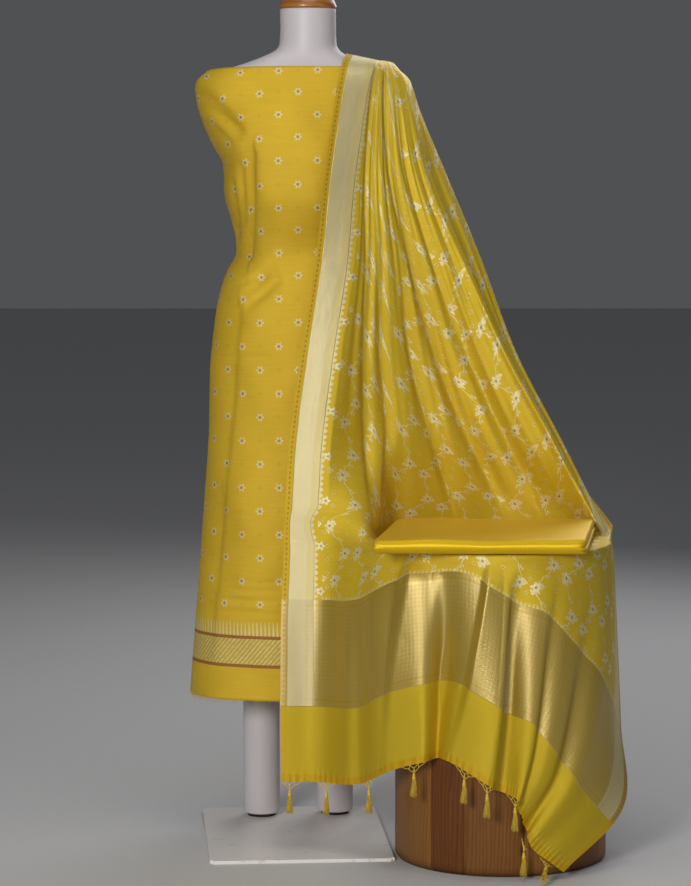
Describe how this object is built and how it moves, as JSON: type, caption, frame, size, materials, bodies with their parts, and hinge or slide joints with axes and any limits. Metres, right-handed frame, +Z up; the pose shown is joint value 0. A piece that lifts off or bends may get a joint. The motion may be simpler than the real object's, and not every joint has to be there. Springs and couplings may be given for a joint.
{
  "type": "salwar kameez suit on dress form and wooden drum",
  "caption": "Unstitched salwar kameez suit: brocade kameez length pinned on a limbless dress form, dupatta over its shoulder and a round wooden drum, salwar cloth folded on top.",
  "frame": {"origin": "on the underside of the form's base plate, below the axis of the dress form", "axes": "+Z up, the form faces -Y, the drum stands to its +X side and in front"},
  "size_m": [0.7812, 0.6593, 1.5368],
  "materials": {
    "kameez_cloth": "yellow silk-like brocade with small silver flower motifs, soft sheen",
    "dupatta_cloth": "greenish gold brocade with silver zari border and floral field, soft sheen",
    "salwar_cloth": "plain yellow satin, soft sheen",
    "tassel_thread": "yellow silk thread, matte",
    "form_white": "satin white cover",
    "cap_wood": "turned, varnished",
    "plate_white": "satin white paint",
    "drum_wood": "upright planks of two browns, satin varnish"
  },
  "bodies": {
    "root": {"kameez_front": "kameez_cloth", "kameez_back": "kameez_cloth", "dupatta_front_hang": "dupatta_cloth", "dupatta_fan": "dupatta_cloth", "dupatta_back_fall": "dupatta_cloth", "salwar_folded": "salwar_cloth", "tassel_front_1": "tassel_thread", "tassel_front_2": "tassel_thread", "tassel_front_3": "tassel_thread", "tassel_front_4": "tassel_thread", "tassel_front_5": "tassel_thread", "tassel_front_6": "tassel_thread", "tassel_front_7": "tassel_thread", "tassel_front_8": "tassel_thread", "tassel_front_9": "tassel_thread", "tassel_back_1": "tassel_thread", "tassel_back_2": "tassel_thread", "tassel_back_3": "tassel_thread", "tassel_back_4": "tassel_thread", "tassel_back_5": "tassel_thread", "tassel_back_6": "tassel_thread", "tassel_back_7": "tassel_thread", "form_torso": "form_white", "form_neck_cap": "cap_wood", "form_post_left": "form_white", "form_post_right": "form_white", "form_base_plate": "plate_white", "wood_drum": "drum_wood"}
  },
  "joints": []
}
